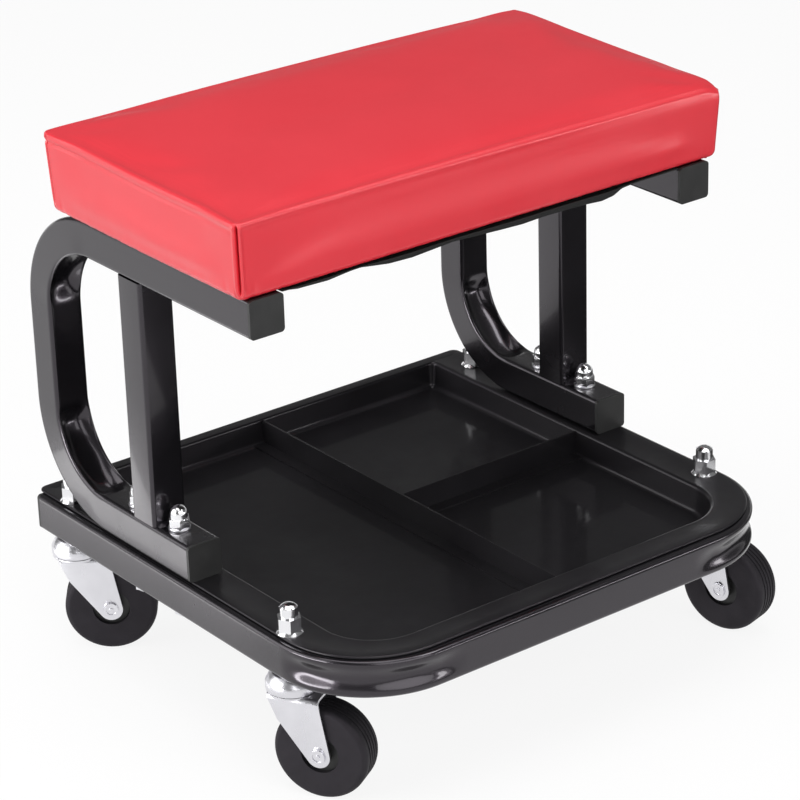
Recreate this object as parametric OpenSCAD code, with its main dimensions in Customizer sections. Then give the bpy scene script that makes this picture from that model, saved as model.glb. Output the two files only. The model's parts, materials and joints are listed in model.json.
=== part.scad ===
// Low rolling seat: a padded cushion on two C-shaped side frames, over a base
// with a divided tool tray and four swivel casters.
// X runs across the seat, Y from its open front to its back, Z up from the floor.

/* [Tube] */
// Side of the square steel tube
tube_w = 25.4; // [23:0.1:28]
// Wall of the tube
tube_wall = 1.5; // [1:0.1:2]
// Rounding of the tube's long edges
tube_edge_r = 2.6; // [2:0.1:3.5]
// How far the inside of a bend is crushed in at its middle
bend_crush = 9.5; // [4:0.5:12]
// How far the crush runs on into the straight tube
crush_run = 2; // [0.5:0.5:4]

/* [Base] */
// Width of the base over its tubes
base_w = 377; // [340:1:420]
// Length of the base with the caps in its back ends
base_l = 354; // [330:1:400]
// Outer radius of the front corners
base_bend_r = 72; // [68:1:84]
// Height of the underside of the base over the floor
base_z = 82.8; // [81:0.1:90]

/* [Side frames] */
// Height of a side frame
side_h = 220.7; // [190:0.1:280]
// Length of the top rail from its front cap to the back of the frame
side_top_l = 258; // [230:1:280]
// How far the bottom rail reaches in front of its front bolt
side_nose_l = 28; // [22:0.5:60]
// Outer radius of the two bends
side_bend_r = 76.2; // [70:0.1:80]
// How far the side frames stand inside the base's outer faces
side_inset = 2; // [0.5:0.5:4]
// How far the side frames stand in front of the base's back ends
side_back_in = 7.5; // [2:0.5:14]
// From the back of a side frame to the back of its post
post_back_gap = 111.2; // [105:0.1:120]
// Leg of the weld beads at the ends of a post
weld_leg = 2.6; // [2:0.1:4]

/* [Tray] */
// Thickness of the tray's sheet
sheet_t = 1; // [0.8:0.1:1.4]
// Depth of the tray below its rim
tray_depth = 19.6; // [12:0.1:24]
// Strip of the side tubes left bare outside the rim
rim_side_in = 4.5; // [3:0.5:8]
// Strip of the front tube left bare in front of the rim
rim_front_in = 5.4; // [3:0.1:8]
// How far the rim reaches behind the base's back ends
rim_back_over = 6; // [2:0.5:10]
// Radius of the rim's front corners
rim_front_r = 64; // [60:1:68]
// Radius of the rim's back corners
rim_back_r = 6; // [3:0.5:10]
// Width of the hem folded under the rim's edge
hem_w = 8; // [5:0.5:10]
// Gap between the side tubes and the tray's walls
tray_side_gap = 6.1; // [2:0.1:10]
// Gap between the front tube and the tray's front wall
tray_front_gap = 1.1; // [1:0.1:4]
// Width of the rim behind the tray's back wall
rim_back_w = 8.5; // [8:0.5:14]
// Radius of the tray's front corners
tray_front_r = 38; // [36:1:42]
// Radius of the tray's back corners
tray_back_r = 8; // [4:0.5:12]
// Thickness of the dividers
divider_t = 1.5; // [1:0.1:2]
// How far the dividers stop below the rim
divider_low = 1.5; // [0.5:0.5:4]
// Width of the foot that carries a divider on the floor
divider_foot = 9; // [6:0.5:14]
// How far the short divider stands behind the middle of the base
short_divider_back = 12.5; // [0:0.5:40]

/* [Seat] */
// How far the cushion reaches beyond each side frame
seat_side_over = 7.7; // [2:0.1:16]
// Length of the cushion
seat_l = 210.5; // [190:0.5:230]
// Height of the cushion at its edges
seat_h = 52.9; // [40:0.1:64]
// Rise of the cushion's top above its edges
seat_crown = 4.5; // [2:0.5:8]
// How far the cushion reaches in front of the top rails
seat_over = 1.1; // [0:0.1:6]
// Radius of the cushion's corners seen from above
seat_corner_r = 14; // [10:1:20]
// How far the long sides draw in between their corners
seat_draw_in = 1.2; // [0.5:0.1:3]
// Thickness of the vinyl cover
cover_t = 1.2; // [0.8:0.1:1.6]
// How far the cover turns in under the board
cover_turn = 13; // [8:0.5:15]
// Thickness of the plywood board
board_t = 12; // [9:0.5:15]
// How far the loose dust cover sags between the rails
dust_sag = 4; // [1:0.5:8]
// Thickness of the dust cover
dust_t = 0.6; // [0.4:0.1:1]
// From the cushion's front edge to the front seat bolts
seat_bolt_in = 35; // [30:0.5:45]
// Clear space between a post and the seat bolts behind it
seat_bolt_gap = 27.6; // [12:0.1:30]

/* [Casters] */
// Diameter of a wheel
wheel_d = 63.5; // [60:0.1:65]
// Width of a wheel's tread
wheel_w = 23; // [20:0.5:26]
// Rounding of the tread's shoulders
tread_r = 4; // [3:0.5:6]
// Radius of the recess round the hub
recess_r = 12.8; // [11:0.1:16]
// From the swivel axis to the axle, seen from above
trail = 21.7; // [18:0.1:24]
// From the base's front to the front swivel axes
front_stem_in = 77.5; // [75:0.5:95]
// From the base's back ends to the rear swivel axes
rear_stem_in = 26; // [22:0.5:40]
// Direction in which the front left wheel trails, from +X
front_left_heading = -59; // [-180:1:180]
// Direction in which the front right wheel trails, from +X
front_right_heading = -75; // [-180:1:180]
// Direction in which the rear left wheel trails, from +X
rear_left_heading = -36; // [-180:1:180]
// Direction in which the rear right wheel trails, from +X
rear_right_heading = -78; // [-180:1:180]

/* [Fasteners] */
// Width across flats of the frame bolts and their dome nuts
frame_af = 13; // [12:0.5:14]
// Diameter of the frame bolts
frame_bolt_d = 8; // [7:0.5:8]
// Height of the frame bolts' dome nuts
frame_nut_h = 15; // [14:0.5:18]
// Clear space between a post and the frame bolts beside it
frame_bolt_gap = 10.4; // [9.4:0.1:14]
// Diameter of the caster stems
stem_d = 10; // [9:0.5:10]
// Height of the dome nuts on the caster stems
stem_nut_h = 20.2; // [18:0.1:24]
// Diameter of the seat bolts
seat_bolt_d = 6; // [5:0.5:7]

/* [Hidden] */
$fn = 64;

// Clearances and the overrun of every cut
cut = 1;
bolt_clear = 0.2;
fit_clear = 0.05;
soft_gap = 0.3;
face_gap = 0.3;

// Places along Y and Z that the pieces share
front_y = -(base_l + rim_back_over) / 2;
back_y = front_y + base_l;
tube_mid_x = (base_w - tube_w) / 2;
base_top_z = base_z + tube_w;
rim_z = base_top_z + 2 * sheet_t;
rail_x = base_w / 2 - side_inset - tube_w / 2;
rail_top_z = rim_z + tube_w;
side_back_y = back_y - side_back_in;
side_top_z = rim_z + side_h;
top_front_y = side_back_y - side_top_l;
post_y = side_back_y - post_back_gap - tube_w / 2;
frame_bolt_ys = [for (s = [-1, 1]) post_y + s * (tube_w / 2 + frame_bolt_gap)];
low_front_y = frame_bolt_ys[0] - side_nose_l;

// Caps in the tube ends
cap_t = 2.4;
cap_edge_r = 1.6;
cap_tongue = 12;

// Rim and well of the tray
rim_w = base_w - 2 * rim_side_in;
rim_front_y = front_y + rim_front_in;
rim_back_y = back_y + rim_back_over;
well_w = base_w - 2 * (tube_w + tray_side_gap + sheet_t);
well_front_y = front_y + tube_w + tray_front_gap + sheet_t;
well_back_y = rim_back_y - rim_back_w;
floor_z = rim_z - tray_depth;
short_divider_y = short_divider_back + (front_y + back_y) / 2;

// Seat: the cover, the foam and the board in it
seat_w = 2 * (rail_x + tube_w / 2 + seat_side_over);
seat_z = side_top_z + soft_gap;
seat_y = top_front_y - seat_over + seat_l / 2;
seat_top_z = seat_z + seat_h;
board_z = seat_z + cover_t;
board_in = cover_t + soft_gap;
seat_bolt_ys = [seat_y - seat_l / 2 + seat_bolt_in, post_y + tube_w / 2 + seat_bolt_gap];
arc_steps = 4;
long_steps = 8;
short_steps = 5;
// How far each ring of the cover lies in from the widest one, and how high, from bottom to ridge
side_in_shares = [0.5, 0.24, 0.08, 0, 0.03, 0.16, 0.42, 0.8];
side_up_shares = [0, 0.035, 0.14, 0.42, 0.78, 0.93, 1.006, 1];
seat_edge = 10;
crown_shares = [0.84, 0.64, 0.4, 0.16];
inner_in_shares = [0.35, 0, 0.05, 0.45];
inner_up_shares = [0, 0.12, 0.8, 1];
inner_crown_shares = [0.78, 0.4];

// Seat fasteners
seat_head_r = 5.5;
seat_head_h = 3.4;
seat_washer_r = 8;
washer_t = 1.6;
tee_flange_r = 9;
tee_flange_t = 1.4;
tee_barrel_r = 4.2;

// Frame fasteners
frame_washer_r = frame_bolt_gap - weld_leg - soft_gap;
frame_hex_h = 6.5;
frame_dome_r = 5.9;
frame_head_h = 9.5;
frame_head_hex_h = 6;

// Caster stem nuts
stem_af = 14;
stem_flange_r = 8.7;
stem_flange_h = 2;
stem_hex_h = 10.8;
stem_dome_r = 5.8;
stem_dome_h = 2.6;
stem_thread_top = 14;

// Swivel: cup, balls and crown under the base tube
cup_r = 17;
cup_neck_r = 12.5;
cup_rim_h = 5;
cup_wall = 1.5;
crown_gap = 0.6;
ball_r = 2.1;
ball_ring_r = 12.2;
ball_count = 14;
ball_play = 0.1;
fork_t = 1.6;
cup_h = 11.2;
crown_z = base_z - cup_h - crown_gap;
race_z = crown_z + 2 * ball_r + 2 * ball_play;
crown_r = 16.5;
crown_boss_r = 8;
crown_boss_h = 2.4;
king_head_r = 8;
king_head_h = 3.6;

// Fork legs and axle
axle_z = wheel_d / 2;
hub_play = 0.3;
hub_proud = 0.7;
leg_in = wheel_w / 2 + hub_proud + hub_play;
leg_out = leg_in + fork_t;
leg_bend_r = 3.5;
leg_tip_r = 8;
leg_front = 22.5;
leg_back = 12.4;
leg_knee_back = 5.3;
leg_knee_low = 16.6;
axle_d = 6;
sleeve_d = 8;
axle_head_r = 5;
axle_head_h = 1.4;
axle_dish_r = 3.4;
axle_dish_h = 0.8;
axle_pip_r = 1.5;
axle_nut_af = 10;
axle_nut_h = 4;
axle_end = 1;

// Wheel: rubber tyre on a moulded core
core_r = 20;
core_web_in = 3.2;
hub_r = 7.5;
tread_ribs = 4;
tread_rib_h = 0.5;

CASTERS = ["front_left", "front_right", "rear_left", "rear_right"];
caster_sides = [-1, 1, -1, 1];
front_stem_y = front_y + front_stem_in;
rear_stem_y = back_y - rear_stem_in;
caster_ys = [front_stem_y, front_stem_y, rear_stem_y, rear_stem_y];
caster_headings = [front_left_heading, front_right_heading, rear_left_heading, rear_right_heading];
CASTER_NODES = ["cup", "stem", "balls", "fork", "axle", "axle_nut", "sleeve", "hub", "tyre"];

// Shared shapes

module rounded_2d(w, l, r) {
    square([w - 2 * r, l], center = true);
    square([w, l - 2 * r], center = true);
    for (x = [-1, 1], y = [-1, 1])
        translate([x * (w / 2 - r), y * (l / 2 - r)]) circle(r);
}

// Section of the tube, drawn in by a wall's thickness for the hollow
module tube_2d(wall) {
    rounded_2d(tube_w - 2 * wall, tube_w - 2 * wall, tube_edge_r - min(wall, tube_edge_r / 2));
}

module tube_x(from, to, wall) {
    translate([from, 0, 0]) rotate([90, 0, 90]) linear_extrude(to - from) tube_2d(wall);
}

module tube_y(from, to, wall) {
    translate([0, from, 0]) rotate([-90, 0, 0]) linear_extrude(to - from) tube_2d(wall);
}

// Quarter bend about the origin, with the inside of the bend crushed towards its outside.
// The crush is a cylinder that starts on the straight tube and is deepest at the middle.
module tube_bend(outer_r, start, wall) {
    inner_r = outer_r - tube_w;
    deep_r = inner_r + bend_crush;
    off = (deep_r * deep_r - inner_r * inner_r - crush_run * crush_run)
        / (2 * (sqrt(2) * deep_r - inner_r + crush_run));
    rotate([0, 0, start]) difference() {
        rotate_extrude(angle = 90) translate([outer_r - tube_w / 2, 0]) tube_2d(wall);
        translate([off, off, 0])
            cylinder(r = deep_r - off * sqrt(2) + wall, h = tube_w + 2 * cut, center = true);
    }
}

// Moves a shape drawn along X and Y to the Y and Z of a side frame
module upright(x) {
    translate([x, 0, 0]) rotate([90, 0, 90]) children();
}

module hex_2d(af) {
    circle(r = af / sqrt(3), $fn = 6);
}

// Hexagon with its upper corners turned down
module hex_block(af, h) {
    intersection() {
        linear_extrude(h) hex_2d(af);
        cylinder(r1 = af / sqrt(3) + h, r2 = af / 2, h = h + (af / sqrt(3) - af / 2));
    }
}

// Dome of a given radius and height on the XY plane
module dome(r, h) {
    ball = (r * r + h * h) / (2 * h);
    intersection() {
        translate([0, 0, h - ball]) sphere(ball);
        cylinder(r = r, h = h);
    }
}

module at_frame_bolts() {
    for (s = [-1, 1], y = frame_bolt_ys) translate([s * rail_x, y, 0]) children();
}

module at_seat_bolts() {
    for (s = [-1, 1], y = seat_bolt_ys) translate([s * rail_x, y, 0]) children();
}

module at_stems() {
    for (i = [0:3]) translate([caster_sides[i] * tube_mid_x, caster_ys[i], 0]) children();
}

module at_caster(i) {
    translate([caster_sides[i] * tube_mid_x, caster_ys[i], 0])
        rotate([0, 0, caster_headings[i]]) children();
}

// Moves a shape turned about Z to the axle, with Z along the axle away from the nut
module on_axle() {
    translate([trail, 0, axle_z]) rotate([90, 0, 0]) children();
}

// Base

module base_run(wall, end) {
    corner_x = base_w / 2 - base_bend_r;
    corner_y = front_y + base_bend_r;
    for (s = [-1, 1]) translate([s * tube_mid_x, 0, 0]) tube_y(corner_y, back_y - cap_t + end, wall);
    translate([0, front_y + tube_w / 2, 0]) tube_x(-corner_x, corner_x, wall);
    translate([-corner_x, corner_y, 0]) tube_bend(base_bend_r, 180, wall);
    translate([corner_x, corner_y, 0]) tube_bend(base_bend_r, 270, wall);
}

module base_frame() {
    color("#1c1c1f") difference() {
        translate([0, 0, base_z + tube_w / 2]) base_run(0, 0);
        translate([0, 0, base_z + tube_w / 2]) base_run(tube_wall, cut);
        at_frame_bolts() translate([0, 0, base_z - cut])
            cylinder(d = frame_bolt_d + 2 * bolt_clear, h = tube_w + 2 * cut);
        at_stems() translate([0, 0, base_z - cut])
            cylinder(d = stem_d + 2 * bolt_clear, h = tube_w + 2 * cut);
    }
}

// Cap on the open end of a tube that faces along +Y, with a tongue in the tube
module end_cap() {
    tongue_w = tube_w - 2 * (tube_wall + bolt_clear);
    rotate([90, 0, 0]) linear_extrude(cap_t) rounded_2d(tube_w, tube_w, tube_edge_r);
    translate([0, -cap_t, 0]) rotate([90, 0, 0])
        linear_extrude(cap_tongue) rounded_2d(tongue_w, tongue_w, cap_edge_r);
}

module base_end_caps() {
    color("#151517") for (s = [-1, 1])
        translate([s * tube_mid_x, back_y, base_z + tube_w / 2]) end_cap();
}

// Side frames

module side_run(wall, end) {
    low = rim_z + tube_w / 2;
    high = side_top_z - tube_w / 2;
    bend_y = side_back_y - side_bend_r;
    translate([0, low, 0]) tube_x(low_front_y + cap_t - end, bend_y, wall);
    translate([0, high, 0]) tube_x(top_front_y + cap_t - end, bend_y, wall);
    translate([side_back_y - tube_w / 2, 0, 0])
        tube_y(rim_z + side_bend_r, side_top_z - side_bend_r, wall);
    translate([bend_y, rim_z + side_bend_r, 0]) tube_bend(side_bend_r, -90, wall);
    translate([bend_y, side_top_z - side_bend_r, 0]) tube_bend(side_bend_r, 0, wall);
}

module side_frame(s) {
    color("#1c1c1f") difference() {
        upright(s * rail_x) side_run(0, 0);
        upright(s * rail_x) side_run(tube_wall, cut);
        for (y = frame_bolt_ys) translate([s * rail_x, y, rim_z - cut])
            cylinder(d = frame_bolt_d + 2 * bolt_clear, h = tube_w + 2 * cut);
        for (y = seat_bolt_ys) translate([s * rail_x, y, side_top_z - tube_w - cut])
            cylinder(d = seat_bolt_d + 2 * bolt_clear, h = tube_w + 2 * cut);
    }
}

module left_side_frame() side_frame(-1);

module right_side_frame() side_frame(1);

module side_frame_end_caps() {
    ends = [[low_front_y, rim_z + tube_w / 2], [top_front_y, side_top_z - tube_w / 2]];
    color("#151517") for (s = [-1, 1], e = ends)
        translate([s * rail_x, e[0], e[1]]) rotate([0, 0, 180]) end_cap();
}

// Post between the rails, with a weld bead before and behind each end
module post(s) {
    post_h = side_h - 2 * tube_w;
    bead_l = tube_w - 2 * tube_edge_r;
    color("#1c1c1f") translate([s * rail_x, post_y, rail_top_z]) {
        difference() {
            linear_extrude(post_h) tube_2d(0);
            translate([0, 0, -cut]) linear_extrude(post_h + 2 * cut) tube_2d(tube_wall);
        }
        for (side = [0, 180], up = [0, 1]) rotate([0, 0, side])
            translate([0, tube_w / 2, up * post_h]) mirror([0, 0, up])
                translate([-bead_l / 2, 0, 0]) rotate([90, 0, 90])
                    linear_extrude(bead_l) polygon([[0, 0], [weld_leg, 0], [0, weld_leg]]);
    }
}

module left_post() post(-1);

module right_post() post(1);

// Tray

// Outline with its own radius at the front and at the back corners
module tray_2d(w, y0, y1, r0, r1) {
    translate([-w / 2, y0 + r0]) square([w, y1 - y0 - r0 - r1]);
    translate([-w / 2 + r0, y0]) square([w - 2 * r0, r0 + r1]);
    translate([-w / 2 + r1, y1 - 2 * r1]) square([w - 2 * r1, 2 * r1]);
    for (s = [-1, 1]) {
        translate([s * (w / 2 - r0), y0 + r0]) circle(r0);
        translate([s * (w / 2 - r1), y1 - r1]) circle(r1);
    }
}

module rim_2d(in) {
    tray_2d(rim_w - 2 * in, rim_front_y + in, rim_back_y - in,
        rim_front_r - in, max(rim_back_r - in, sheet_t));
}

module well_2d(out) {
    tray_2d(well_w + 2 * out, well_front_y - out, well_back_y + out, tray_front_r + out, tray_back_r + out);
}

module tool_tray() {
    color("#232326") difference() {
        union() {
            translate([0, 0, rim_z - sheet_t]) linear_extrude(sheet_t) rim_2d(0);
            translate([0, 0, rim_z - 2 * sheet_t]) linear_extrude(sheet_t) difference() {
                rim_2d(0);
                rim_2d(min(hem_w, rim_back_w - 2 * sheet_t));
            }
            translate([0, 0, floor_z - sheet_t]) linear_extrude(tray_depth) well_2d(sheet_t);
        }
        translate([0, 0, floor_z]) linear_extrude(tray_depth + cut) well_2d(0);
        at_frame_bolts() translate([0, 0, base_top_z - cut])
            cylinder(d = frame_bolt_d + 2 * bolt_clear, h = 2 * sheet_t + 2 * cut);
        at_stems() translate([0, 0, base_top_z - cut])
            cylinder(d = stem_d + 2 * bolt_clear, h = 2 * sheet_t + 2 * cut);
    }
}

// Angle section that stands on the floor, its foot turned to the left
module divider_2d() {
    translate([-divider_t / 2, 0]) square([divider_t, tray_depth - divider_low]);
    translate([-divider_t / 2 - divider_foot, 0]) square([divider_foot + divider_t / 2, divider_t]);
}

module long_divider() {
    color("#232326") translate([0, well_back_y - fit_clear, floor_z]) rotate([90, 0, 0])
        linear_extrude(well_back_y - well_front_y - 2 * fit_clear) divider_2d();
}

module short_divider() {
    start = divider_t / 2 + fit_clear;
    color("#232326") translate([start, short_divider_y, floor_z]) rotate([90, 0, 90])
        linear_extrude(well_w / 2 - fit_clear - start) divider_2d();
}

// Seat

// Rounded rectangle with its sides drawn in between the corners, counted from the back right corner
function seat_ring(in, z) =
    let (
        hx = seat_w / 2 - in,
        hy = seat_l / 2 - in,
        r = max(seat_corner_r - in, seat_corner_r / 4),
        fx = hx - r,
        fy = hy - r,
        arc = [for (i = [0:arc_steps]) r * [cos(90 * i / arc_steps), sin(90 * i / arc_steps)]],
        long = [for (i = [1:long_steps - 1]) i / long_steps],
        short = [for (i = [1:short_steps - 1]) i / short_steps]
    )
    [
        for (a = arc) [fx + a[0], fy + a[1], z],
        for (t = long) [fx * (1 - 2 * t), hy - seat_draw_in * sin(180 * t), z],
        for (a = arc) [-fx - a[1], fy + a[0], z],
        for (t = short) [-hx + seat_draw_in * sin(180 * t), fy * (1 - 2 * t), z],
        for (a = arc) [-fx - a[0], -fy - a[1], z],
        for (t = long) [-fx * (1 - 2 * t), -hy + seat_draw_in * sin(180 * t), z],
        for (a = arc) [fx + a[1], -fy - a[0], z],
        for (t = short) [hx - seat_draw_in * sin(180 * t), -fy * (1 - 2 * t), z]
    ];

// Ring of the crowned top, drawn in from the top's edge by a layer and shrunk to a share
function crown_ring(layer, share) =
    [for (p = seat_ring(seat_edge + layer, 0))
        [share * p[0], share * p[1], seat_top_z - layer + seat_crown * (1 - share * share)]];

function crown_point(layer) = [0, 0, seat_top_z - layer + seat_crown];

// Closed skin from a first point over rings of equal count to a last point
module skin(first, rings, last) {
    n = len(rings[0]);
    m = len(rings);
    faces = [
        for (i = [0:n - 1]) [0, 1 + (i + 1) % n, 1 + i],
        for (k = [0:m - 2], i = [0:n - 1])
            let (a = 1 + k * n + i, b = 1 + k * n + (i + 1) % n) each [[a, b, b + n], [a, b + n, a + n]],
        for (i = [0:n - 1]) [1 + m * n, 1 + (m - 1) * n + i, 1 + (m - 1) * n + (i + 1) % n]
    ];
    polyhedron([first, each [for (r = rings) each r], last], faces);
}

// Ring of the space inside the cover, drawn in by a gap
function inner_ring(i, gap) =
    seat_ring(
        cover_t + gap + seat_edge * inner_in_shares[i],
        board_z + (seat_h - 2 * cover_t) * inner_up_shares[i] - gap
    );

function reversed(list) = [for (i = [len(list) - 1:-1:0]) list[i]];

module seat_cover() {
    outside = [
        seat_ring(cover_turn, seat_z),
        for (i = [0:len(side_in_shares) - 1])
            seat_ring(seat_edge * side_in_shares[i], seat_z + seat_h * side_up_shares[i]),
        for (f = concat([1], crown_shares)) crown_ring(0, f)
    ];
    inside = [
        seat_ring(cover_turn, board_z),
        for (i = [0:len(inner_in_shares) - 1]) inner_ring(i, 0),
        for (f = concat([1], inner_crown_shares)) crown_ring(cover_t, f)
    ];
    color("#b5121b") translate([0, seat_y, 0])
        skin(crown_point(0), concat(reversed(outside), inside), crown_point(cover_t));
}

module seat_foam() {
    z = board_z + board_t;
    layer = cover_t + soft_gap;
    rings = [
        for (f = reversed(concat([1], inner_crown_shares))) crown_ring(layer, f),
        inner_ring(3, soft_gap),
        inner_ring(2, soft_gap),
        seat_ring(layer + seat_edge * inner_in_shares[2], z)
    ];
    color("#d8c98f") translate([0, seat_y, 0]) skin(crown_point(layer), rings, [0, 0, z]);
}

module seat_board() {
    in = board_in + seat_draw_in + seat_edge / 2;
    color("#b98f5c") difference() {
        translate([0, seat_y, board_z]) linear_extrude(board_t)
            rounded_2d(seat_w - 2 * in, seat_l - 2 * in, seat_corner_r);
        at_seat_bolts() {
            translate([0, 0, board_z - cut]) cylinder(r = tee_barrel_r + fit_clear, h = board_t + 2 * cut);
            translate([0, 0, board_z + board_t - tee_flange_t])
                cylinder(r = tee_flange_r + fit_clear, h = tee_flange_t + cut);
        }
    }
}

// Thin black fabric stapled under the board, which hangs slack between the rails
module seat_dust_cover() {
    half_w = rail_x - tube_w / 2 - soft_gap;
    half_l = seat_l / 2 - cover_turn / 2;
    spans = 20;
    function sag_z(u) = seat_z - soft_gap - dust_sag * (1 - u * u);
    over = [for (i = [0:spans]) let (u = 2 * i / spans - 1) [u * half_w, sag_z(u)]];
    under = [for (p = reversed(over)) [p[0], p[1] - dust_t]];
    color("#18181a") translate([0, seat_y + half_l, 0]) rotate([90, 0, 0])
        linear_extrude(2 * half_l) polygon(concat(over, under));
}

module seat_tee_nuts() {
    color("#b9bcc0") at_seat_bolts() difference() {
        union() {
            translate([0, 0, board_z]) cylinder(r = tee_barrel_r, h = board_t);
            translate([0, 0, board_z + board_t - tee_flange_t]) cylinder(r = tee_flange_r, h = tee_flange_t);
        }
        translate([0, 0, board_z - cut]) cylinder(d = seat_bolt_d + 2 * fit_clear, h = board_t + 2 * cut);
    }
}

module seat_bolts() {
    low = side_top_z - tube_w - washer_t;
    color("#b9bcc0") at_seat_bolts() {
        translate([0, 0, low]) mirror([0, 0, 1]) dome(seat_head_r, seat_head_h);
        translate([0, 0, low]) cylinder(d = seat_bolt_d, h = board_z + board_t - tee_flange_t - low);
    }
}

module washer(r, bore_d) {
    difference() {
        cylinder(r = r, h = washer_t);
        translate([0, 0, -cut]) cylinder(d = bore_d, h = washer_t + 2 * cut);
    }
}

module seat_washers() {
    color("#b9bcc0") at_seat_bolts() translate([0, 0, side_top_z - tube_w - washer_t])
        washer(seat_washer_r, seat_bolt_d + 2 * bolt_clear);
}

// Frame fasteners

module frame_bolts() {
    low = base_z - washer_t;
    color("#c9ccd1") at_frame_bolts() {
        translate([0, 0, low - frame_head_hex_h]) linear_extrude(frame_head_hex_h) hex_2d(frame_af);
        translate([0, 0, low - frame_head_hex_h]) mirror([0, 0, 1])
            dome(frame_dome_r, frame_head_h - frame_head_hex_h);
        translate([0, 0, low]) cylinder(d = frame_bolt_d, h = rail_top_z + washer_t + frame_hex_h - low);
    }
}

module frame_washers() {
    color("#c9ccd1") at_frame_bolts() for (z = [base_z - washer_t, rail_top_z])
        translate([0, 0, z]) washer(frame_washer_r, frame_bolt_d + 2 * bolt_clear);
}

module frame_dome_nuts() {
    color("#d6d8dc") at_frame_bolts() translate([0, 0, rail_top_z + washer_t]) difference() {
        union() {
            hex_block(frame_af, frame_hex_h);
            cylinder(r = frame_dome_r, h = frame_nut_h - frame_dome_r);
            translate([0, 0, frame_nut_h - frame_dome_r]) sphere(frame_dome_r);
        }
        translate([0, 0, -cut]) cylinder(d = frame_bolt_d + 2 * fit_clear, h = frame_hex_h + 2 * cut);
    }
}

module stem_dome_nuts() {
    color("#d6d8dc") at_stems() translate([0, 0, rim_z]) difference() {
        union() {
            cylinder(r1 = stem_flange_r, r2 = stem_af / 2, h = stem_flange_h);
            hex_block(stem_af, stem_hex_h);
            cylinder(r = stem_dome_r, h = stem_nut_h - stem_dome_h);
            translate([0, 0, stem_nut_h - stem_dome_h]) dome(stem_dome_r, stem_dome_h);
        }
        translate([0, 0, -cut]) cylinder(d = stem_d + 2 * fit_clear, h = stem_thread_top + 2 * cut);
    }
}

// Casters, each drawn with its swivel axis on Z and its wheel trailing along +X

// Fixed race: a pressed cup under the base tube
module cup() {
    rim_low = crown_z + crown_gap;
    color("#c9ccd1") rotate_extrude() polygon([
        [stem_d / 2 + fit_clear, race_z],
        [cup_r - cup_wall, race_z],
        [cup_r - cup_wall, rim_low],
        [cup_r, rim_low],
        [cup_r, rim_low + cup_rim_h],
        [(cup_r + cup_neck_r) / 2, base_z - (cup_h - cup_rim_h) / 3],
        [cup_neck_r, base_z],
        [stem_d / 2 + fit_clear, base_z]
    ]);
}

// Kingpin with its head under the fork's crown, which runs up through the base as the stem
module stem() {
    head_top = crown_z - fork_t - face_gap;
    color("#b9bcc0") {
        translate([0, 0, head_top]) mirror([0, 0, 1]) dome(king_head_r, king_head_h);
        translate([0, 0, head_top]) cylinder(d = stem_d, h = rim_z + stem_thread_top - head_top);
    }
}

module balls() {
    color("#c9ccd1") for (i = [0:ball_count - 1]) rotate([0, 0, 360 * i / ball_count])
        translate([ball_ring_r, 0, crown_z + ball_r + ball_play]) sphere(ball_r);
}

// Point where a line from p touches the leg's round tip
function tip_touch(p, side) =
    let (
        d = p - [trail, axle_z],
        turn = atan2(d[1], d[0]) + side * acos(leg_tip_r / norm(d))
    )
    [trail, axle_z] + leg_tip_r * [cos(turn), sin(turn)];

module leg_2d() {
    knee = [-leg_knee_back, crown_z - leg_knee_low];
    front = [leg_front, crown_z];
    polygon([front, tip_touch(front, -1), tip_touch(knee, 1), knee, [-leg_back, crown_z]]);
    translate([trail, axle_z]) circle(leg_tip_r);
}

// Folded section across the fork: the crown with a leg down each side
module fork_2d() {
    low = axle_z - leg_tip_r - cut;
    difference() {
        fork_half_2d(leg_out, crown_z, low, leg_bend_r);
        fork_half_2d(leg_in, crown_z - fork_t, low - cut, leg_bend_r - fork_t);
    }
}

module fork_half_2d(half, top, low, r) {
    translate([-half, low]) square([2 * half, top - r - low]);
    translate([-half + r, low]) square([2 * half - 2 * r, top - low]);
    for (s = [-1, 1]) translate([s * (half - r), top - r]) circle(r);
}

module fork() {
    color("#c4c6ca") difference() {
        union() {
            intersection() {
                translate([-crown_r, 0, 0]) rotate([90, 0, 90])
                    linear_extrude(2 * crown_r + trail) fork_2d();
                translate([0, leg_out + cut, 0]) rotate([90, 0, 0])
                    linear_extrude(2 * (leg_out + cut)) leg_2d();
            }
            translate([0, 0, crown_z - fork_t]) cylinder(r = crown_r, h = fork_t);
            translate([0, 0, crown_z - fork_t]) cylinder(r = crown_boss_r, h = fork_t + crown_boss_h);
        }
        translate([0, 0, crown_z - fork_t - cut])
            cylinder(d = stem_d + 2 * fit_clear, h = fork_t + crown_boss_h + 2 * cut);
        on_axle() cylinder(d = axle_d + 2 * fit_clear, h = 2 * (leg_out + cut), center = true);
    }
}

module axle() {
    low = -leg_out - axle_nut_h - axle_end;
    color("#c9ccd1") on_axle() {
        translate([0, 0, low]) cylinder(d = axle_d, h = leg_out - low);
        translate([0, 0, leg_out]) difference() {
            cylinder(r = axle_head_r, h = axle_head_h);
            translate([0, 0, axle_head_h - axle_dish_h]) difference() {
                cylinder(r = axle_dish_r, h = axle_dish_h + cut);
                cylinder(r = axle_pip_r, h = axle_dish_h);
            }
        }
    }
}

module axle_nut() {
    color("#c9ccd1") on_axle() translate([0, 0, -leg_out]) mirror([0, 0, 1]) difference() {
        hex_block(axle_nut_af, axle_nut_h);
        translate([0, 0, -cut]) cylinder(d = axle_d + 2 * fit_clear, h = axle_nut_h + 2 * cut);
    }
}

module sleeve() {
    color("#c9ccd1") on_axle() difference() {
        cylinder(d = sleeve_d, h = 2 * (leg_in - fit_clear), center = true);
        cylinder(d = axle_d + 2 * fit_clear, h = 2 * (leg_in + cut), center = true);
    }
}

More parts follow.
